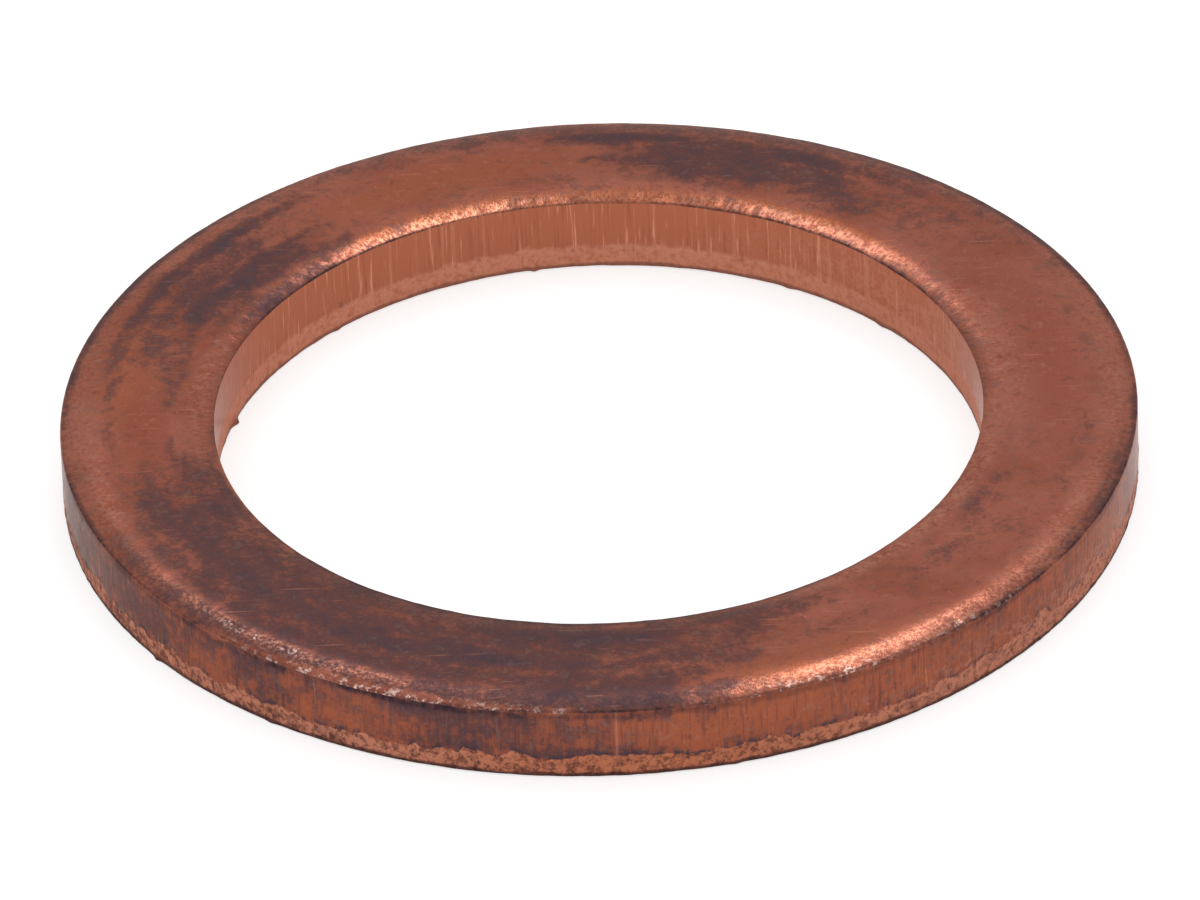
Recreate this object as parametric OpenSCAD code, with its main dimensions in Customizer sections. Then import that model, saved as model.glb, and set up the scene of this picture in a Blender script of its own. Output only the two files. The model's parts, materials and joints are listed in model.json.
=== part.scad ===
// Flat copper sealing ring, blanked from sheet in one stroke. The stroke leaves the same
// run of surfaces on the rim and in the bore: a rolled upper edge, a straight sheared
// land, and a torn band that draws back into the metal towards the lower face.

/* [Ring] */
// Diameter of the rim, across its sheared land
outer_d = 19.9; // [18:0.1:30]
// Diameter of the bore, across its sheared land
bore_d = 14.2; // [8:0.1:15]
// Thickness between the two sealing faces
thickness = 1.5; // [1:0.1:3]

/* [Rim edge] */
// How far the rolled edge of the rim reaches in over the upper face
rim_roll_width = 0.74; // [0.4:0.01:0.9]
// How far the rolled edge of the rim drops below the upper face
rim_roll_drop = 0.14; // [0.06:0.01:0.25]
// Radius of the tight corner between the rolled edge and the land of the rim
rim_corner_r = 0.05; // [0.01:0.01:0.05]
// Height of the torn band at the foot of the rim
rim_tear_height = 0.38; // [0.1:0.01:0.6]
// How far the torn band of the rim draws back at the lower face
rim_tear_draw = 0.01; // [0.01:0.01:0.15]

/* [Bore edge] */
// How far the rolled edge of the bore reaches out over the upper face
bore_roll_width = 0.75; // [0.4:0.01:0.9]
// How far the rolled edge of the bore drops below the upper face
bore_roll_drop = 0.11; // [0.06:0.01:0.25]
// Radius of the tight corner between the rolled edge and the land of the bore
bore_corner_r = 0.03; // [0.01:0.01:0.05]
// Height of the torn band at the foot of the bore
bore_tear_height = 0.46; // [0.1:0.01:0.6]
// How far the torn band of the bore draws back at the lower face
bore_tear_draw = 0.01; // [0.01:0.01:0.15]

/* [Hidden] */
$fn = 180;
outer_r = outer_d / 2;
bore_r = bore_d / 2;
// The two rolls leave some of the upper face flat, however narrow the ring
most_roll = 0.4 * (outer_r - bore_r);

// Metal taken off one edge of the section. The land lies on x = 0, the lower face on
// y = 0, and the metal on the +x side. The roll is an arc tangent to the upper face, and
// the corner is a smaller arc tangent to both the roll and the land.
module edge_waste(roll_width, roll_drop, corner_r, tear_height, tear_draw) {
    clear = roll_width + roll_drop;
    roll_reach = roll_width - corner_r;
    roll_r = (pow(roll_reach, 2) + pow(roll_drop, 2) - pow(corner_r, 2)) / (2 * (roll_drop - corner_r));
    roll_centre = [roll_width, thickness - roll_r];
    corner_centre = [corner_r, thickness - roll_drop];
    to_corner = corner_centre - roll_centre;
    tangent_ray = to_corner / norm(to_corner);

    // Above the roll
    difference() {
        translate([-clear, thickness - roll_drop]) square([clear + roll_width, roll_drop + clear]);
        translate(roll_centre) circle(r = roll_r);
    }
    // Outside the tight corner
    difference() {
        polygon([corner_centre, corner_centre - [clear, 0], corner_centre + clear * tangent_ray]);
        translate(corner_centre) circle(r = corner_r);
    }
    // Outside the torn band
    polygon([
        [-clear, -clear],
        [-clear, tear_height],
        [0, tear_height],
        [tear_draw, 0],
        [tear_draw, -clear]
    ]);
}

// Section of the ring from the bore to the rim
module ring_section() {
    difference() {
        translate([bore_r, 0]) square([outer_r - bore_r, thickness]);
        translate([bore_r, 0])
            edge_waste(min(bore_roll_width, most_roll), bore_roll_drop, bore_corner_r, bore_tear_height, bore_tear_draw);
        translate([outer_r, 0]) mirror([1, 0])
            edge_waste(min(rim_roll_width, most_roll), rim_roll_drop, rim_corner_r, rim_tear_height, rim_tear_draw);
    }
}

// The whole ring, one piece of copper
module washer() {
    color([0.62, 0.36, 0.27]) rotate_extrude() ring_section();
}

washer();
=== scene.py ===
import json
import math

import bpy
import numpy as np
from mathutils import Matrix, Vector, noise


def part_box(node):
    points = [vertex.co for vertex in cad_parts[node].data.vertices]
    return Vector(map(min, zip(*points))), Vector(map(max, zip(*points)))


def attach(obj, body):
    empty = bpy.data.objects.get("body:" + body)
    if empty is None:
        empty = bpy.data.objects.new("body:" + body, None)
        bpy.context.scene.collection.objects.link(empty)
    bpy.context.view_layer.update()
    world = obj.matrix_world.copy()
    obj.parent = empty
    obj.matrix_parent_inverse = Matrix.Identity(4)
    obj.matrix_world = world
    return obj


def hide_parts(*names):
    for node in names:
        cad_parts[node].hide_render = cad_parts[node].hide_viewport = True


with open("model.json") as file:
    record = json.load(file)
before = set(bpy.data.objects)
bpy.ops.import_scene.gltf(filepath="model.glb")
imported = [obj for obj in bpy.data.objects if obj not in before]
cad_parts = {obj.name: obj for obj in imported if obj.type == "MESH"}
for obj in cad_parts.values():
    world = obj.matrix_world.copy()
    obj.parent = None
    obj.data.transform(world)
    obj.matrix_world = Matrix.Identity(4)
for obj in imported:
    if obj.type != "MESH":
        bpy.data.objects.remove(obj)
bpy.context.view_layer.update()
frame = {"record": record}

# The blank
# A flat ring of soft copper, stamped from sheet in one stroke of a compound tool. It is a
# single piece that lies on its lower face, and a plug's thread passes through its bore.
MM = 0.001
lowest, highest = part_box("washer")
rim_r = highest.x / MM
thickness = (highest.z - lowest.z) / MM
mounts = {mount["name"]: mount for mount in frame["record"]["mounts"]}
bore_r = mounts["bore"]["dims"]["r_mm"]
bore_land = mounts["bore"]["dims"]["length_mm"]
bore_land_middle = mounts["bore"]["pos_m"][2] / MM

COLUMNS = 1120
turn = np.arange(COLUMNS) * (2 * math.pi / COLUMNS)
degrees = np.degrees(turn)


def around(cycles, seed, octaves=1):
    """Smooth noise round the ring, about -1 to 1, with so many swells in a turn."""
    reach = cycles / (2 * math.pi)
    return np.array([
        noise.fractal(Vector((math.cos(a) * reach, math.sin(a) * reach, seed)), 1.0, 2.0, octaves)
        for a in turn
    ])


def off_angle(angles, centre):
    """Degrees from a place on the ring, by the shorter way round."""
    return (angles - centre + 180.0) % 360.0 - 180.0


# The sheared edges
# The tool rolls the upper edge over, burnishes a straight land, and then the metal tears
# off to a ragged line and leaves a rough band, drawn back a little, down to a broken burr.
RIM = {
    "roll_width": 0.74,
    "roll_drop": 0.14,
    "corner_r": 0.05,
    "tear_height": 0.38,
    "tear_draw": 0.01,
    "ledge": 0.002,
}
BORE = {
    "roll_width": 0.75,
    "roll_drop": thickness - bore_land_middle - bore_land / 2,
    "corner_r": 0.03,
    "tear_height": bore_land_middle - bore_land / 2,
    "tear_draw": 0.01,
    "ledge": 0.0,
}
FOOT_R, LINE_STEP = 0.01, 0.012
FOOT_ROWS, TEAR_ROWS, LAND_ROWS, CORNER_ROWS, ROLL_ROWS = 3, 10, 8, 4, 8
# The first row of a roll lies close to its corner, so that the crease stays sharp
ROLL_START = 0.97
# How far a roll wanders round the ring, and the least that it drops beyond its corner, in mm
DROP_SWELL, DROP_RIPPLE, WIDTH_SWELL = 0.010, 0.006, 0.03
LEAST_ROLL = 0.012

# Places where the tear runs up into the rim's land: degrees round, width in degrees, climb in mm
RIM_HIGH_TEARS = [
    (203, 1.2, 0.07), (212, 1.0, 0.06), (217, 1.3, 0.08), (254.6, 0.7, 0.12), (268, 0.9, 0.07),
    (291, 1.0, 0.06), (317, 2.2, 0.10), (322.5, 2.0, 0.22), (329, 1.6, 0.12), (334, 2.6, 0.27),
    (340, 2.0, 0.15), (30, 2.5, 0.12), (95, 2.0, 0.15),
]


def tear_line(edge, swell, scallop, seed, high_tears=()):
    """Height of the ragged line where the land ends, round the ring."""
    scallops = np.abs(around(90, seed)) + 0.5 * np.abs(around(240, seed + 3.0))
    scallops = scallops + 0.2 * around(400, seed + 5.0)
    line = edge["tear_height"] + swell * around(14, seed + 7.0) + scallop * (scallops - 0.3)
    for centre, width, climb in high_tears:
        across = off_angle(degrees, centre) / width
        line = line + climb * np.clip(1.0 - np.abs(across), 0.0, 1.0) ** 0.7
    return line


def edge_rows(edge, line, seed):
    """Rows from the lower face up to the upper one. Each is its depth inside the land, its
    height, the tilt of its outward side from straight up, and the name of its zone."""
    flat = np.ones(COLUMNS)
    corner = edge["corner_r"]
    drop = edge["roll_drop"] + DROP_SWELL * around(45, seed) + DROP_RIPPLE * around(160, seed + 1.0)
    drop = np.maximum(drop, corner + LEAST_ROLL)
    width = edge["roll_width"] + WIDTH_SWELL * around(35, seed + 2.0)
    roll_r = ((width - corner) ** 2 + drop ** 2 - corner ** 2) / (2 * (drop - corner))
    meet = np.arctan2(width - corner, roll_r - drop)
    rows = []
    for tilt in np.linspace(math.pi, math.pi / 2, FOOT_ROWS, endpoint=False):
        depth = edge["tear_draw"] + FOOT_R * (1.0 - math.sin(tilt))
        rows.append((flat * depth, flat * FOOT_R * (1.0 + math.cos(tilt)), flat * tilt, "foot"))
    for part in np.linspace(0.0, 1.0, TEAR_ROWS):
        depth = edge["tear_draw"] + (edge["ledge"] - edge["tear_draw"]) * part
        height = FOOT_R + (line - LINE_STEP - FOOT_R) * part
        rows.append((flat * depth, height, flat * math.pi / 2, "torn"))
    for part in np.linspace(0.0, 1.0, LAND_ROWS):
        height = line + (thickness - drop - line) * part
        rows.append((flat * 0.0, height, flat * math.pi / 2, "land"))
    for part in np.linspace(0.0, 1.0, CORNER_ROWS + 1)[1:]:
        tilt = math.pi / 2 + (meet - math.pi / 2) * part
        height = thickness - drop + corner * np.cos(tilt)
        rows.append((corner * (1.0 - np.sin(tilt)), height, tilt, "corner"))
    for part in [ROLL_START, *np.linspace(1.0, 0.0, ROLL_ROWS + 1)[1:]]:
        tilt = meet * part
        height = thickness - roll_r * (1.0 - np.cos(tilt))
        rows.append((width - roll_r * np.sin(tilt), height, tilt, "roll"))
    return rows


rim_line = tear_line(RIM, swell=0.02, scallop=0.20, seed=3.0, high_tears=RIM_HIGH_TEARS)
bore_line = tear_line(BORE, swell=0.04, scallop=0.12, seed=11.0)
rim_rows = edge_rows(RIM, rim_line, seed=21.0)
bore_rows = edge_rows(BORE, bore_line, seed=31.0)

# The mesh of the ring
# The rows go up the bore, over the upper face, down the rim and back under the lower face.
# Each zone is then given the lumps, furrows and dents that its part of the stroke leaves.
FACE_ROWS, UNDER_ROWS = 16, 4
flat = np.ones(COLUMNS)
section = []
for depth, height, tilt, zone in bore_rows:
    section.append((bore_r + depth, height, -np.sin(tilt), np.cos(tilt), zone, 1.0))
face_from = bore_r + bore_rows[-1][0]
face_to = rim_r - rim_rows[-1][0]
for part in np.linspace(0.0, 1.0, FACE_ROWS + 2)[1:-1]:
    row_out = face_from + (face_to - face_from) * part
    section.append((row_out, flat * thickness, flat * 0.0, flat, "face", 0.0))
for depth, height, tilt, zone in reversed(rim_rows):
    section.append((rim_r - depth, height, np.sin(tilt), np.cos(tilt), zone, 0.0))
under_from = rim_r - RIM["tear_draw"] - FOOT_R
under_to = bore_r + BORE["tear_draw"] + FOOT_R
for part in np.linspace(0.0, 1.0, UNDER_ROWS + 2)[1:-1]:
    row_out = under_from + (under_to - under_from) * part
    section.append((flat * row_out, flat * 0.0, flat * 0.0, -flat, "under", 0.0))
ROWS = len(section)
out = np.array([row[0] for row in section])
up = np.array([row[1] for row in section])
lean_out = np.array([row[2] for row in section])
lean_up = np.array([row[3] for row in section])
zones = np.array([row[4] for row in section])
inside = np.array([row[5] for row in section])[:, None] * flat


def zone_mark(*names):
    """1 on the rows of these zones and 0 on the rest, for every point of the ring."""
    return np.isin(zones, names)[:, None] * flat


def surface_noise(scale, seed, stretch_up=1.0, octaves=2):
    """Noise over the ring's surface, about -1 to 1. scale is swells in a millimetre."""
    x = out * np.cos(turn)
    y = out * np.sin(turn)
    places = np.stack([x * scale, y * scale, up * scale / stretch_up], -1).reshape(-1, 3)
    shift = Vector((seed, seed * 1.7, seed * 0.6))
    values = [noise.fractal(Vector(p) + shift, 1.0, 2.0, octaves) for p in places]
    return np.array(values).reshape(out.shape)


torn = zone_mark("torn")
land = zone_mark("land")
foot = zone_mark("foot")
face = zone_mark("face")
upper = zone_mark("face", "roll", "corner")
wall = zone_mark("land", "torn", "foot")
outer_wall = wall * (1.0 - inside)
tilt_up = np.degrees(np.arccos(np.clip(lean_up, -1.0, 1.0)))
rolled = np.clip((tilt_up - 4.0) / 4.0, 0.0, 1.0) * zone_mark("roll", "corner")

# How far the relief of each zone stands, in mm
ROLL_LUMP, TEAR_LUMP, TEAR_FURROW, FOOT_BREAK, FACE_SWELL = 0.0025, 0.008, 0.012, 0.010, 0.003
# The tear of the bore starts smooth, over this height in mm, and is finer than the rim's by this share
BORE_TEAR_SMOOTH, BORE_TEAR_FINER = 0.12, 0.8
lumps = surface_noise(scale=4.5, seed=2.0)
furrows = surface_noise(scale=4.0, seed=5.0, stretch_up=2.5)
swells = surface_noise(scale=0.8, seed=8.0)
breaks = surface_noise(scale=3.0, seed=13.0)
below_start = np.clip((bore_line - up) / BORE_TEAR_SMOOTH, 0.0, 1.0)
rough = np.where(inside > 0.5, below_start * (1.0 - BORE_TEAR_FINER), 1.0)
relief = ROLL_LUMP * lumps * rolled
relief += (TEAR_LUMP * lumps + TEAR_FURROW * furrows) * torn * rough
relief += FOOT_BREAK * breaks * foot
relief += FACE_SWELL * swells * face

# Deep drag marks down the lands: degrees round, width in degrees, depth in mm. A depth below
# nought is a ridge.
RIM_DRAGS = [
    (270.7, 0.2, 0.006), (269.9, 0.2, -0.006), (268.8, 0.2, -0.006), (267.6, 0.2, -0.005),
    (233.0, 0.3, -0.004), (256.0, 0.25, -0.002), (60.0, 0.4, 0.005), (131.0, 0.3, 0.004),
]
BORE_DRAGS = [
    (44.0, 0.5, 0.010), (48.6, 0.35, 0.006), (51.6, 0.3, 0.008), (53.2, 0.35, 0.008),
    (58.4, 0.3, 0.006), (68.0, 0.4, 0.007), (72.4, 0.3, 0.007), (80.5, 0.4, 0.005),
    (93.0, 0.4, 0.004), (106.8, 0.3, 0.007), (111.6, 0.3, 0.008), (113.4, 0.3, 0.007),
    (117.8, 0.3, 0.006), (122.4, 0.35, 0.008), (235.0, 0.4, 0.008), (301.0, 0.4, 0.009),
]
DEEP_DRAG = 0.012


def drag_depth(drags):
    """How deep the drag marks are, round the ring."""
    depth = np.zeros(COLUMNS)
    for centre, width, deep in drags:
        depth += deep * np.exp(-((off_angle(degrees, centre) / width) ** 2) * 2.0)
    return depth


drags = np.where(inside > 0.5, drag_depth(BORE_DRAGS), drag_depth(RIM_DRAGS)) * land
relief -= drags


def dent(centre, radius, across, middle, size, deep):
    """Depth of a round dent. across is mm out on a face and mm up on a wall."""
    along = np.radians(off_angle(degrees, centre)) * radius
    away = (along ** 2 + (across - middle) ** 2) / size ** 2
    return deep * np.exp(-away * 2.0)


# Small dents and pits: degrees round, mm out from the axis, size in mm, depth in mm
DENTS = [
    (310.0, 9.80, 0.06, 0.05), (98.5, 8.15, 0.10, 0.012), (341.0, 9.10, 0.05, 0.02),
    (296.0, 8.10, 0.06, 0.02), (205.0, 8.10, 0.07, 0.012), (64.0, 7.25, 0.06, 0.02),
    (160.0, 7.55, 0.08, 0.015), (20.0, 8.80, 0.06, 0.012), (250.0, 9.60, 0.10, 0.015),
]
for centre, middle, size, deep in DENTS:
    relief -= dent(centre, middle, out, middle, size, deep) * upper

# Nicks low in the bore: degrees round, mm up, size in mm, depth in mm
NICKS = [
    (93.0, 0.36, 0.06, 0.02), (107.5, 0.42, 0.07, 0.02), (119.0, 0.48, 0.06, 0.02),
    (132.0, 0.48, 0.07, 0.03), (67.0, 0.36, 0.06, 0.02), (52.5, 0.40, 0.06, 0.02),
]
for centre, middle, size, deep in NICKS:
    relief -= dent(centre, bore_r, up, middle, size, deep) * inside * (land + torn)

# Burr nibs on the lower edge: degrees round, width in degrees, how far they stand out in mm
RIM_NIBS = [(214.6, 0.5, 0.05), (232.0, 0.4, 0.02), (283.0, 0.5, 0.02)]
BORE_NIBS = [
    (162.5, 1.0, 0.09), (41.0, 1.2, 0.04), (59.0, 0.9, 0.03), (99.0, 0.5, 0.05), (133.0, 0.8, 0.03),
]
NIB_HEIGHT = 0.07
low_edge = np.exp(-((up / NIB_HEIGHT) ** 2)) * (foot + torn)
for nibs, side in ((RIM_NIBS, 1.0 - inside), (BORE_NIBS, inside)):
    for centre, width, stand in nibs:
        relief += stand * np.exp(-((off_angle(degrees, centre) / width) ** 2)) * low_edge * side

# Darker where the surface lies deep, except on the land of the rim
DEEP_HOLLOW, SHALLOW_SHARE = 0.016, 0.3
hollow = np.clip(-relief / DEEP_HOLLOW - SHALLOW_SHARE, 0.0, 1.0) * (1.0 - land * (1.0 - inside))
# Relief stands no further than this above the upper face, in mm
MOST_PROUD = 0.01
out = out + relief * lean_out
up = np.clip(up + relief * lean_up, 0.0, thickness + MOST_PROUD)

points = np.stack([out * np.cos(turn), out * np.sin(turn), up], -1).reshape(-1, 3) * MM
row_of, column_of = np.meshgrid(np.arange(ROWS), np.arange(COLUMNS), indexing="ij")
next_row = (row_of + 1) % ROWS
next_column = (column_of + 1) % COLUMNS
corners = [(row_of, column_of), (row_of, next_column), (next_row, next_column), (next_row, column_of)]
faces = np.stack([row * COLUMNS + column for row, column in corners], -1).reshape(-1, 4)
mesh = bpy.data.meshes.new("copper_ring")
mesh.from_pydata(points.tolist(), [], faces.tolist())
mesh.polygons.foreach_set("use_smooth", np.ones(len(mesh.polygons), bool))
mesh.update()
ring = bpy.data.objects.new("copper_ring", mesh)
bpy.context.scene.collection.objects.link(ring)

# The copper and its oxide film
# Bare copper browns in air. Handling and storage leave the film in patches and long streaks
# on the upper face and the rim, while the bore, sheared last and least touched, stays bright.

# Film on the upper face: degrees round, half length in degrees, mm out, half width in mm, strength
FACE_FILM = [
    # Far side, on the right
    (70, 27, 9.22, 0.30, 0.75), (85, 12, 9.25, 0.25, 0.95), (62, 8, 9.2, 0.22, 0.9),
    (74, 14, 8.6, 0.75, 0.85), (64, 12, 8.6, 0.6, 0.7), (72, 9, 8.2, 0.3, 0.9),
    (53, 6, 8.4, 0.6, 0.5), (92, 2.5, 8.55, 0.2, 0.6), (44, 14, 8.8, 0.7, 0.36),
    # Far side, on the left
    (146, 20, 9.22, 0.24, 0.9), (140, 12, 9.2, 0.2, 0.95), (146, 17, 8.15, 0.3, 0.95),
    (140, 9, 7.85, 0.3, 0.8), (147, 22, 8.7, 0.45, 0.63), (135, 10, 7.6, 0.3, 0.55),
    (150, 10, 7.6, 0.3, 0.45), (168, 11, 8.05, 0.35, 0.5), (110, 13, 9.4, 0.4, 0.4),
    (178, 10, 9.02, 0.12, 0.52),
    # Near side
    (240, 46, 8.5, 0.45, 0.9), (225, 34, 8.0, 0.7, 0.75), (262, 24, 7.75, 0.55, 0.9),
    (245, 30, 8.6, 0.3, 0.95), (205, 14, 8.4, 0.6, 0.8), (192, 6, 7.9, 0.3, 0.62),
    (201, 12, 7.6, 0.4, 0.72), (240, 40, 9.15, 0.45, 0.75), (270, 12, 9.1, 0.4, 0.65),
    (277, 5, 9.1, 0.4, 0.7), (283, 6, 8.6, 0.5, 0.6), (287, 8, 8.1, 0.45, 0.6),
    (292, 9, 7.7, 0.35, 0.62),
    # Right-hand end
    (335, 14, 7.85, 0.4, 0.36), (345, 14, 8.95, 0.25, 0.36), (12, 10, 9.2, 0.26, 0.34),
    (300, 10, 8.6, 0.5, 0.34), (318, 12, 8.2, 0.5, 0.3), (328, 12, 9.0, 0.3, 0.3),
    # Along the roll of the bore
    (200, 12, 7.3, 0.15, 0.85), (235, 25, 7.45, 0.35, 0.6), (255, 48, 7.15, 0.12, 0.95),
    (240, 45, 7.4, 0.3, 0.75), (283, 16, 7.4, 0.3, 0.75), (144, 14, 7.25, 0.25, 0.75),
    (166, 12, 7.25, 0.2, 0.3), (24, 15, 7.2, 0.15, 0.38), (86, 22, 7.56, 0.12, 0.32),
    (50, 26, 7.06, 0.12, 0.7), (135, 20, 7.06, 0.14, 0.8),
    # Along the roll of the rim
    (45, 40, 9.87, 0.12, 0.9), (150, 28, 9.87, 0.12, 0.9), (100, 25, 9.85, 0.12, 0.6),
    (80, 50, 9.68, 0.36, 0.62), (198, 16, 9.93, 0.08, 0.6), (208, 9, 9.65, 0.25, 0.6),
    (230, 26, 9.68, 0.26, 0.78), (254, 11, 9.6, 0.35, 0.75), (267, 14, 9.55, 0.4, 0.9),
    (272, 10, 9.7, 0.3, 0.95), (280, 7, 9.55, 0.25, 0.6), (322, 18, 9.93, 0.1, 0.6),
    (338, 22, 9.82, 0.17, 0.54), (345, 20, 9.9, 0.08, 0.75),
]
# Film on the rim: degrees round, half length in degrees, mm up, half width in mm, strength
RIM_FILM = [
    (205, 20, 0.9, 0.6, 0.75), (228, 20, 1.0, 0.5, 0.6), (245, 16, 1.28, 0.15, 0.9),
    (228, 10, 1.28, 0.12, 0.9), (255, 12, 1.2, 0.2, 0.8), (275, 10, 1.28, 0.1, 0.7),
    (262, 25, 0.5, 0.12, 0.7), (275, 8, 0.5, 0.1, 0.8), (300, 14, 0.5, 0.08, 0.6),
    (310, 25, 0.9, 0.5, 0.35), (350, 15, 0.8, 0.8, 0.5), (192, 14, 0.8, 0.9, 0.85),
    (90, 70, 0.9, 0.5, 0.5), (150, 25, 1.1, 0.3, 0.7), (40, 20, 0.7, 0.3, 0.6),
    (257, 18, 0.9, 0.5, 0.62), (208, 22, 0.15, 0.2, 0.6), (235, 20, 0.15, 0.25, 0.5),
]
# The film elsewhere on the face and on the rim, and the even film on the lower face
FACE_THIN, RIM_THIN, UNDER_FILM = 0.2, 0.3, 0.55

# Places that handling keeps barer, in the same terms
FACE_BARE = [
    (107, 18, 8.6, 0.6, 0.2), (182, 13, 8.45, 0.55, 0.25), (10, 28, 8.5, 0.5, 0.2),
    (305, 22, 9.0, 0.6, 0.1), (244, 14, 9.88, 0.05, 0.8),
]
RIM_BARE = [
    (226, 3, 0.9, 0.5, 0.25), (236, 3, 0.8, 0.5, 0.15), (247, 5, 0.8, 0.5, 0.2),
    (265, 6, 0.9, 0.5, 0.1), (283, 12, 0.9, 0.4, 0.25), (300, 10, 0.8, 0.4, 0.2),
]
# How bare the face is where its tone is fully ruddy
FULL_RUDDY = 0.25

# Where the metal is warmer in tone, painted paler where highlights fall on the rolls, or dulled by
# fine dust, in the same terms
FACE_WARM = [
    (54, 14, 7.48, 0.12, 0.8), (116, 18, 7.36, 0.2, 0.8), (84, 20, 7.3, 0.2, 0.8),
    (112, 18, 8.4, 0.6, 0.4), (165, 12, 8.9, 0.5, 0.4), (290, 14, 9.4, 0.4, 0.5),
]
RIM_WARM = [(275, 20, 0.3, 0.5, 0.8)]
# Painted highlight: the rolls are paler where their highlights fall
FACE_PAINTED_HIGHLIGHTS = [
    (113, 18, 7.22, 0.18, 0.6), (55, 17, 7.27, 0.2, 0.5), (306, 20, 9.66, 0.22, 0.4),
    (232, 18, 9.58, 0.15, 0.4), (82, 16, 7.2, 0.2, 0.25),
]
FACE_DUST_AND_HIGHLIGHT = [
    # The patch at 50 degrees, on the bore's roll where a highlight falls, is painted highlight; the
    # rest is fine dust
    (327, 28, 7.33, 0.2, 0.7), (50, 14, 7.26, 0.12, 0.5), (192, 20, 9.45, 0.28, 0.35),
    (172, 14, 7.42, 0.2, 0.4), (2, 18, 9.5, 0.25, 0.35), (12, 24, 7.6, 0.35, 0.35),
    (336, 14, 9.45, 0.2, 0.4),
]
RIM_DUSTY = [(328, 28, 0.2, 0.6, 0.75)]
BORE_DUSTY = [(25, 35, 0.6, 1.2, 0.45)]

# Painted glints along the crease of the rim and on its roll, in the same terms
CREASE_GLINTS = [
    (247, 15, 9.92, 0.10, 1.0), (292, 10, 9.93, 0.10, 0.8), (312, 8, 9.9, 0.1, 0.3),
    (229, 8, 9.6, 0.07, 0.9),
]

# A patch ends at so many times its half length and width, and fades over so many of them
PATCH_END, PATCH_FADE = 1.75, 1.5
# How far the outlines of the film wander, in degrees round and mm across, and the rim's share of it
drift_round = 5.0 * surface_noise(scale=1.1, seed=17.0, octaves=4)
drift_across = 0.22 * surface_noise(scale=1.4, seed=23.0, octaves=4)
RIM_DRIFT = 0.8


def patches(places, across, drift=0.0):
    """Strength of the strongest patch at each point. across is mm out on a face, mm up on a wall,
    and drift is how far the outlines wander."""
    cover = np.zeros(out.shape)
    for centre, length, middle, width, strength in places:
        along = off_angle(degrees + drift * drift_round, centre) / length
        away = np.hypot(along, (across + drift * drift_across - middle) / width)
        soft = np.clip((PATCH_END - away) / PATCH_FADE, 0.0, 1.0)
        cover = np.maximum(cover, strength * soft * soft * (3.0 - 2.0 * soft))
    return cover


bare_face = patches(FACE_BARE, out)
bare_rim = patches(RIM_BARE, up, RIM_DRIFT)
film = (np.maximum(patches(FACE_FILM, out, face), FACE_THIN) - bare_face) * upper
film += (np.maximum(patches(RIM_FILM, up, RIM_DRIFT), RIM_THIN) - bare_rim) * outer_wall
film += UNDER_FILM * zone_mark("under")
warm = patches(FACE_WARM, out) * upper + patches(RIM_WARM, up) * outer_wall
dusty = patches(FACE_DUST_AND_HIGHLIGHT, out) * upper + patches(RIM_DUSTY, up) * outer_wall
dusty += patches(BORE_DUSTY, up) * wall * inside
# The steep end of each roll, along which shade is painted
bore_crease = np.clip((tilt_up - 11.0) / 2.5, 0.0, 1.0)
rim_crease = np.clip((tilt_up - 13.0) / 6.0, 0.0, 1.0)
marks = {
    "film": film,
    "wall": wall,
    "below_tear": np.where(inside > 0.5, bore_line, rim_line) - up,
    "rolled": rolled,
    "inside": inside,
    "hollow": hollow,
    "drags": drags / DEEP_DRAG,
    "crease": np.where(inside > 0.5, bore_crease, rim_crease) * rolled,
    "nicked": patches(CREASE_GLINTS, out) * rolled,
    "warm": warm,
    "rubbed": patches(FACE_PAINTED_HIGHLIGHTS, out) * upper,
    "dusty": dusty,
    "ruddy": np.minimum(bare_face / FULL_RUDDY, 1.0) * face,
}
for name, values in marks.items():
    layer = mesh.attributes.new(name, "FLOAT", "POINT")
    layer.data.foreach_set("value", values.astype(np.float32).ravel())


def seen(red, green, blue):
    """A colour given as it looks on screen, 0 to 255, as the linear colour that shaders take."""
    parts = [c / 255.0 for c in (red, green, blue)]
    return [c / 12.92 if c <= 0.04045 else ((c + 0.055) / 1.055) ** 2.4 for c in parts] + [1.0]


BARE = seen(154, 91, 75)
BARE_RED = seen(141, 78, 61)
WARM = seen(156, 87, 55)
DUST_AND_HIGHLIGHT = seen(181, 119, 99)
SHEARED = seen(152, 84, 60)
PALE = seen(208, 143, 115)
OXIDE_BROWN = seen(106, 65, 58)
OXIDE_DARK = seen(69, 56, 63)
BORE_BRIGHT = seen(160, 93, 69)
BORE_PALE = seen(198, 132, 106)
TORN_PALE = seen(192, 127, 103)
TORN_WARM = seen(184, 112, 80)
TORN_DARK = seen(108, 66, 56)
# Near black, painted as shade along the creases and along the lower edge
PAINTED_SHADE = seen(50, 35, 40)
# A pale colour painted as glints on the crease of the rim
PAINTED_GLINT = seen(230, 200, 190)
EDGE_TINT = (0.85, 0.72, 0.68, 1.0)

copper = bpy.data.materials.new("oxidised_copper")
copper.use_nodes = True
nodes = copper.node_tree.nodes
links = copper.node_tree.links
shader = nodes["Principled BSDF"]


def feed(socket, value):
    """Links a node's output to a socket, or sets the socket to a plain value."""
    if isinstance(value, bpy.types.NodeSocket):
        links.new(value, socket)
    else:
        socket.default_value = value


def maths(operation, first, second=0.0):
    """Arithmetic on numbers, by the name of Blender's operation."""
    node = nodes.new("ShaderNodeMath")
    node.operation = operation
    feed(node.inputs[0], first)
    feed(node.inputs[1], second)
    return node.outputs[0]


def times(first, second):
    return maths("MULTIPLY", first, second)


def plus(first, second):
    return maths("ADD", first, second)


def swing(value, size):
    """A noise value that swings about nought, so far each way."""
    return times(maths("SUBTRACT", value, 0.5), size)


def mark(name):
    """A mark that the mesh carries at each of its points."""
    node = nodes.new("ShaderNodeAttribute")
    node.attribute_name = name
    return node.outputs["Fac"]


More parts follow.
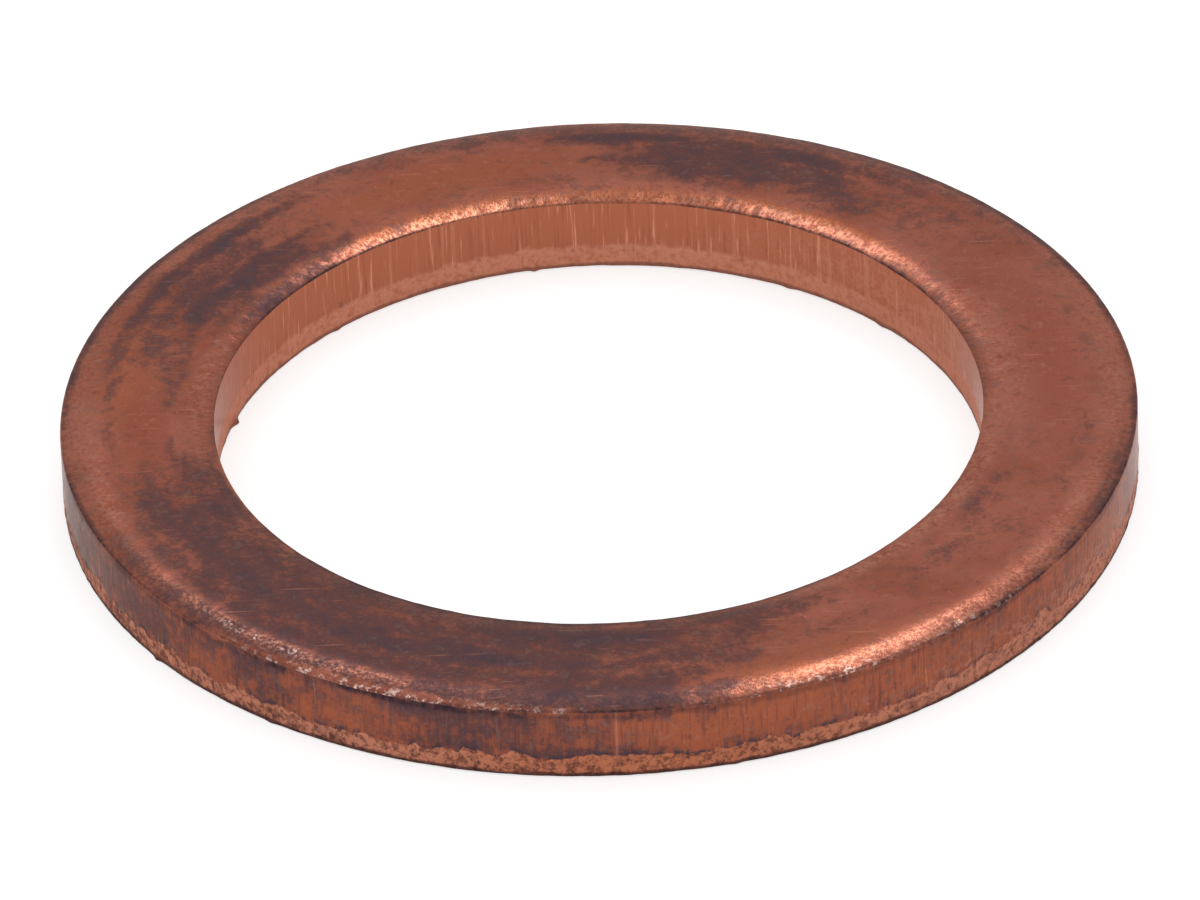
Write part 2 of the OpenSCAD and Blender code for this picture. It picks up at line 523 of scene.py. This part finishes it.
def grain(vector, scale, detail=2.0, roughness=0.5):
    """Noise from 0 to 1, with so many swells in a unit of the vector."""
    node = nodes.new("ShaderNodeTexNoise")
    node.inputs["Scale"].default_value = scale
    node.inputs["Detail"].default_value = detail
    node.inputs["Roughness"].default_value = roughness
    feed(node.inputs["Vector"], vector)
    return node.outputs["Fac"]


def rise(value, start, end):
    """0 at start, 1 at end, and smooth between."""
    node = nodes.new("ShaderNodeMapRange")
    node.interpolation_type = "SMOOTHSTEP"
    feed(node.inputs["Value"], value)
    node.inputs["From Min"].default_value = start
    node.inputs["From Max"].default_value = end
    return node.outputs["Result"]


def blend(amount, first, second):
    """A colour between two, by amount."""
    node = nodes.new("ShaderNodeMix")
    node.data_type = "RGBA"
    feed(node.inputs["Factor"], amount)
    feed(node.inputs[6], first)
    feed(node.inputs[7], second)
    return node.outputs[2]


def level(amount, first, second):
    """A number between two, by amount."""
    node = nodes.new("ShaderNodeMix")
    feed(node.inputs["Factor"], amount)
    feed(node.inputs[2], first)
    feed(node.inputs[3], second)
    return node.outputs[0]


in_mm = nodes.new("ShaderNodeVectorMath")
in_mm.operation = "SCALE"
in_mm.inputs["Scale"].default_value = 1.0 / MM
links.new(nodes.new("ShaderNodeTexCoord").outputs["Object"], in_mm.inputs[0])
spot = in_mm.outputs[0]
split = nodes.new("ShaderNodeSeparateXYZ")
links.new(spot, split.inputs[0])
along_x, along_y, height_up = split.outputs
radius = maths("SQRT", plus(times(along_x, along_x), times(along_y, along_y)))


def ring_place(round_scale, out_scale, up_scale):
    """A place in ring terms: stretched round the ring, out from the axis and up."""
    join = nodes.new("ShaderNodeCombineXYZ")
    links.new(times(maths("DIVIDE", along_x, radius), round_scale), join.inputs[0])
    links.new(times(maths("DIVIDE", along_y, radius), round_scale), join.inputs[1])
    links.new(plus(times(radius, out_scale), times(height_up, up_scale)), join.inputs[2])
    return join.outputs[0]


def scratches(turned):
    """Short thin scratches that run one way across the ring."""
    node = nodes.new("ShaderNodeMapping")
    node.inputs["Rotation"].default_value[2] = math.radians(turned)
    node.inputs["Scale"].default_value = (0.9, 16.0, 1.0)
    links.new(spot, node.inputs["Vector"])
    return rise(grain(node.outputs["Vector"], 1.0, 1.0), 0.71, 0.80)


# The grain of the surface, from broad clouds to fine flecks
cloud = grain(spot, 0.5, detail=3.0, roughness=0.6)
mottle = grain(spot, 1.5, detail=6.0, roughness=0.62)
pits = grain(spot, 5.0, detail=4.0, roughness=0.6)
torn_grain = grain(spot, 8.0, detail=4.0, roughness=0.7)
fleck = grain(spot, 12.0, detail=3.0, roughness=0.6)
streak = grain(ring_place(9.0, 3.2, 3.2), 1.0, detail=4.0, roughness=0.6)
drag_lines = grain(ring_place(120.0, 0.0, 0.9), 1.0, detail=3.0, roughness=0.6)
rim_sparkle = grain(spot, 13.0, detail=3.0, roughness=0.65)
bore_sparkle = grain(ring_place(110.0, 8.0, 8.0), 1.0, detail=3.0, roughness=0.65)
sparkle = level(mark("inside"), rim_sparkle, bore_sparkle)

# The torn bands and the lands, parted along the ragged line
ragged = plus(mark("below_tear"), swing(torn_grain, 0.10))
parting = level(mark("inside"), rise(ragged, -0.015, 0.015), rise(ragged, -0.06, 0.06))
torn_band = times(mark("wall"), parting)
land_band = maths("SUBTRACT", mark("wall"), torn_band)
outside = maths("SUBTRACT", 1.0, mark("inside"))
inner_wall = times(mark("inside"), mark("wall"))
rim_wall = times(mark("wall"), outside)

# The film, broken up by the grain: brown where it is thin and near black where it is thick
wall_spread = plus(swing(drag_lines, 1.4), swing(mottle, 0.8))
spread = level(mark("wall"), swing(mottle, 1.0), wall_spread)
grit = plus(swing(pits, 1.5), swing(fleck, 0.5))
raw_film = plus(mark("film"), plus(spread, plus(swing(streak, 0.5), grit)))
brown = rise(raw_film, 0.05, 0.72)
dark = rise(raw_film, 0.26, 1.28)

# Bare metal under the film, with pale and brown flecks and fine scratches over it
skin = blend(maths("MAXIMUM", rise(cloud, 0.42, 0.68), mark("ruddy")), BARE, BARE_RED)
skin = blend(mark("warm"), skin, WARM)
skin = blend(mark("wall"), skin, SHEARED)
skin = blend(brown, skin, OXIDE_BROWN)
skin = blend(dark, skin, OXIDE_DARK)
skin = blend(times(rise(fleck, 0.57, 0.76), level(dark, 0.22, 0.08)), skin, PALE)
skin = blend(times(rise(pits, 0.54, 0.72), level(dark, 0.2, 0.09)), skin, PALE)
skin = blend(times(rise(fleck, 0.44, 0.28), 0.3), skin, OXIDE_BROWN)
skin = blend(times(maths("MAXIMUM", scratches(20.0), scratches(-55.0)), 0.25), skin, PALE)

# The rolls, with pale specks painted as highlight where the highlights fall and brown gaps painted
# as shade between them, dark pits all over, and drag lines down the land of the rim
# Pale specks on the rolls, painted as highlight mostly where the highlights fall; the brown gaps are
# painted shade
specks_and_painted_highlight = times(plus(mark("rubbed"), 0.1), level(dark, 1.0, 0.1))
skin = blend(times(mark("rolled"), times(rise(sparkle, 0.42, 0.60), specks_and_painted_highlight)), skin, PALE)
skin = blend(times(mark("rolled"), times(rise(sparkle, 0.46, 0.32), 0.4)), skin, OXIDE_BROWN)
skin = blend(times(rise(pits, 0.44, 0.28), 0.35), skin, OXIDE_DARK)
skin = blend(times(land_band, times(rise(drag_lines, 0.50, 0.34), 0.45)), skin, OXIDE_DARK)
skin = blend(times(land_band, times(rise(drag_lines, 0.58, 0.75), 0.2)), skin, TORN_PALE)

# The wall of the bore, combed by the punch and pale where it tore
inner = blend(times(rise(drag_lines, 0.57, 0.72), 0.8), BORE_BRIGHT, BORE_PALE)
inner = blend(times(rise(drag_lines, 0.46, 0.32), 0.6), inner, BARE_RED)
inner = blend(times(torn_band, rise(torn_grain, 0.2, 0.6)), inner, TORN_PALE)
skin = blend(inner_wall, skin, inner)

# The torn band of the rim, pale on its lumps and dark between them
rough_metal = blend(mark("warm"), TORN_PALE, TORN_WARM)
gaps = times(rise(torn_grain, 0.57, 0.39), level(brown, 0.75, 1.0))
rough_metal = blend(gaps, rough_metal, TORN_DARK)
rough_metal = blend(times(rise(raw_film, 0.4, 0.9), 0.6), rough_metal, OXIDE_BROWN)
skin = blend(times(torn_band, outside), skin, rough_metal)

# Fine dust with one painted highlight, dirt above the tear, deep drag marks that shine, dark ridges,
# and darker where the surface lies deep
dust_grain = plus(swing(mottle, 0.7), plus(swing(pits, 1.2), swing(fleck, 1.2)))
# Fine dust, and a painted highlight at one patch on the bore's roll
dust_and_highlight_amount = times(mark("dusty"), rise(dust_grain, -0.14, 0.20))
skin = blend(times(dust_and_highlight_amount, level(dark, 1.0, 0.3)), skin, DUST_AND_HIGHLIGHT)
above_tear = times(rise(ragged, -0.12, -0.03), land_band)
tear_shade = times(above_tear, times(rise(raw_film, 0.15, 0.6), 0.9))
skin = blend(times(tear_shade, outside), skin, OXIDE_DARK)
bright_drags = times(rise(mark("drags"), 0.0, 1.0), level(mark("inside"), 0.95, 0.6))
skin = blend(bright_drags, skin, BORE_PALE)
skin = blend(times(rise(mark("drags"), 0.0, -0.8), 0.7), skin, OXIDE_DARK)
skin = blend(times(mark("hollow"), 0.6), skin, OXIDE_DARK)

# Painted shade along the creases, painted glints on the crease of the rim, and painted shade along
# the lower edge
crease_shade = times(mark("crease"), level(mark("inside"), 1.0, 0.85))
shade_under_crease = times(rise(plus(height_up, swing(streak, 0.12)), 1.19, 1.30), rim_wall)
# The painted crease shade, broken by streaks and strongest where the film is thick
crease_shade_strength = times(rise(streak, 0.34, 0.50), level(dark, 0.3, 1.0))
skin = blend(times(maths("MAXIMUM", crease_shade, shade_under_crease), crease_shade_strength), skin, PAINTED_SHADE)
# Painted glints, in spots along the crease of the rim
glint_spots = rise(plus(swing(pits, 1.0), swing(sparkle, 0.9)), 0.02, 0.24)
skin = blend(times(mark("nicked"), glint_spots), skin, PAINTED_GLINT)
# Painted shade along the foot of each wall, next to the table
low_shade = rise(plus(height_up, swing(mottle, 0.16)), 0.11, 0.05)
low_shade = times(low_shade, level(mark("inside"), 0.8, 0.5))
skin = blend(times(mark("wall"), low_shade), skin, PAINTED_SHADE)
links.new(skin, shader.inputs["Base Color"])

# Gloss: satin on the flat, brighter on the rolls, dull where the film is thick or the metal torn
gloss = level(dark, 0.25, 0.34)
gloss = level(mark("rolled"), gloss, level(dark, 0.19, 0.40))
gloss = level(torn_band, gloss, 0.5)
gloss = plus(gloss, swing(mottle, 0.12))
gloss = plus(gloss, times(mark("rolled"), swing(sparkle, -0.2)))
links.new(gloss, shader.inputs["Roughness"])
shader.inputs["Metallic"].default_value = 1.0
shader.inputs["Specular Tint"].default_value = EDGE_TINT

# Fine relief in mm, below what the mesh carries
fine = plus(times(fleck, 0.0018), times(pits, 0.0035))
fine = times(fine, level(mark("rolled"), level(dark, 1.0, 0.5), 0.3))
fine = plus(fine, times(swing(drag_lines, 0.008), land_band))
torn_relief = swing(torn_grain, level(mark("inside"), 0.05, 0.015))
fine = plus(fine, times(torn_relief, times(mark("wall"), rise(ragged, 0.0, 0.1))))
fine = plus(fine, times(times(sparkle, mark("rolled")), 0.0024))
bump = nodes.new("ShaderNodeBump")
bump.inputs["Distance"].default_value = MM
links.new(fine, bump.inputs["Height"])
links.new(bump.outputs["Normal"], shader.inputs["Normal"])

mesh.materials.append(copper)
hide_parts("washer")
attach(ring, "root")

# The floor and the light
# A plain white table that keeps a soft shadow, an even white room, and two soft boxes
# overhead, one on each side.
FLOOR_HALF = 2.0
FLOOR_DROP = 0.02 * MM
FLOOR_GREY = 0.68
FLOOR_LIFT = 0.56
floor_corners = [(x * FLOOR_HALF, y * FLOOR_HALF, 0) for x, y in ((-1, -1), (1, -1), (1, 1), (-1, 1))]
floor_mesh = bpy.data.meshes.new("floor")
floor_mesh.from_pydata(floor_corners, [], [(0, 1, 2, 3)])
floor = bpy.data.objects.new("floor", floor_mesh)
floor.location.z = -FLOOR_DROP
bpy.context.scene.collection.objects.link(floor)
paper = bpy.data.materials.new("white_table")
paper.use_nodes = True
paper_nodes = paper.node_tree.nodes
paper_links = paper.node_tree.links
matt = paper_nodes["Principled BSDF"]
matt.inputs["Base Color"].default_value = (FLOOR_GREY, FLOOR_GREY, FLOOR_GREY, 1.0)
matt.inputs["Roughness"].default_value = 0.9
matt.inputs["Specular IOR Level"].default_value = 0.0
glow = paper_nodes.new("ShaderNodeEmission")
glow.inputs["Color"].default_value = (1.0, 1.0, 1.0, 1.0)


def seen_directly(tree):
    """1 for rays from the camera and for what metal or glass mirrors, and 0 for light itself."""
    path = tree.nodes.new("ShaderNodeLightPath")
    total = path.outputs["Is Camera Ray"]
    for name in ("Is Glossy Ray", "Is Transmission Ray"):
        joined = tree.nodes.new("ShaderNodeMath")
        joined.operation = "MAXIMUM"
        tree.links.new(total, joined.inputs[0])
        tree.links.new(path.outputs[name], joined.inputs[1])
        total = joined.outputs[0]
    return total


lift = paper_nodes.new("ShaderNodeMath")
lift.operation = "MULTIPLY"
lift.inputs[1].default_value = FLOOR_LIFT
paper_links.new(seen_directly(paper.node_tree), lift.inputs[0])
paper_links.new(lift.outputs[0], glow.inputs["Strength"])
both = paper_nodes.new("ShaderNodeAddShader")
paper_links.new(matt.outputs[0], both.inputs[0])
paper_links.new(glow.outputs[0], both.inputs[1])
paper_links.new(both.outputs[0], paper_nodes["Material Output"].inputs["Surface"])
floor_mesh.materials.append(paper)

ROOM_LIGHT = 0.9
room = bpy.data.worlds.new("white_room")
bpy.context.scene.world = room
room.use_nodes = True
background = room.node_tree.nodes["Background"]
background.inputs["Color"].default_value = (1.0, 1.0, 1.0, 1.0)
background.inputs["Strength"].default_value = ROOM_LIGHT

BOX_WIDE, BOX_TALL = 0.045, 0.145
BOX_FAR = 0.60
BOX_LEAN = math.radians(12.0)
# Each soft box: its name, the side it leans to, its direction from the ring, and its radiance
SOFT_BOXES = [
    ("left_box", -1, Vector((-0.112, 0.678, 0.726)), 2.9),
    ("right_box", 1, Vector((0.116, 0.618, 0.777)), 5.1),
]
for name, side, toward, radiance in SOFT_BOXES:
    lamp = bpy.data.lights.new(name, "AREA")
    lamp.shape = "RECTANGLE"
    lamp.size = BOX_WIDE
    lamp.size_y = BOX_TALL
    lamp.energy = radiance * math.pi * BOX_WIDE * BOX_TALL
    box = bpy.data.objects.new(name, lamp)
    box.matrix_world = (Matrix.Translation(toward.normalized() * BOX_FAR)
                        @ toward.to_track_quat("Z", "Y").to_matrix().to_4x4()
                        @ Matrix.Rotation(side * BOX_LEAN, 4, "Z"))
    box.visible_camera = False
    bpy.context.scene.collection.objects.link(box)

# The camera
# Low on the front side, far off with a long lens, and turned a little so that the ring's
# right end stands higher, as in the photograph.
PHOTO_WIDTH = 1200
FOCAL_PIXELS = 16073
ELEVATION = math.radians(33.24)
ROLL = math.radians(-2.07)
DISTANCE = 297.2 * MM
aim = Vector((0.0, 0.0, 0.5 * MM))
lens = bpy.data.cameras.new("camera")
lens.sensor_width = 36.0
lens.lens = lens.sensor_width * FOCAL_PIXELS / PHOTO_WIDTH
camera = bpy.data.objects.new("camera", lens)
back = Vector((0.0, -math.cos(ELEVATION), math.sin(ELEVATION)))
camera.matrix_world = (Matrix.Translation(aim + back * DISTANCE)
                       @ back.to_track_quat("Z", "Y").to_matrix().to_4x4()
                       @ Matrix.Rotation(ROLL, 4, "Z"))
bpy.context.scene.collection.objects.link(camera)
bpy.context.scene.camera = camera
bpy.context.scene.view_settings.view_transform = "Standard"
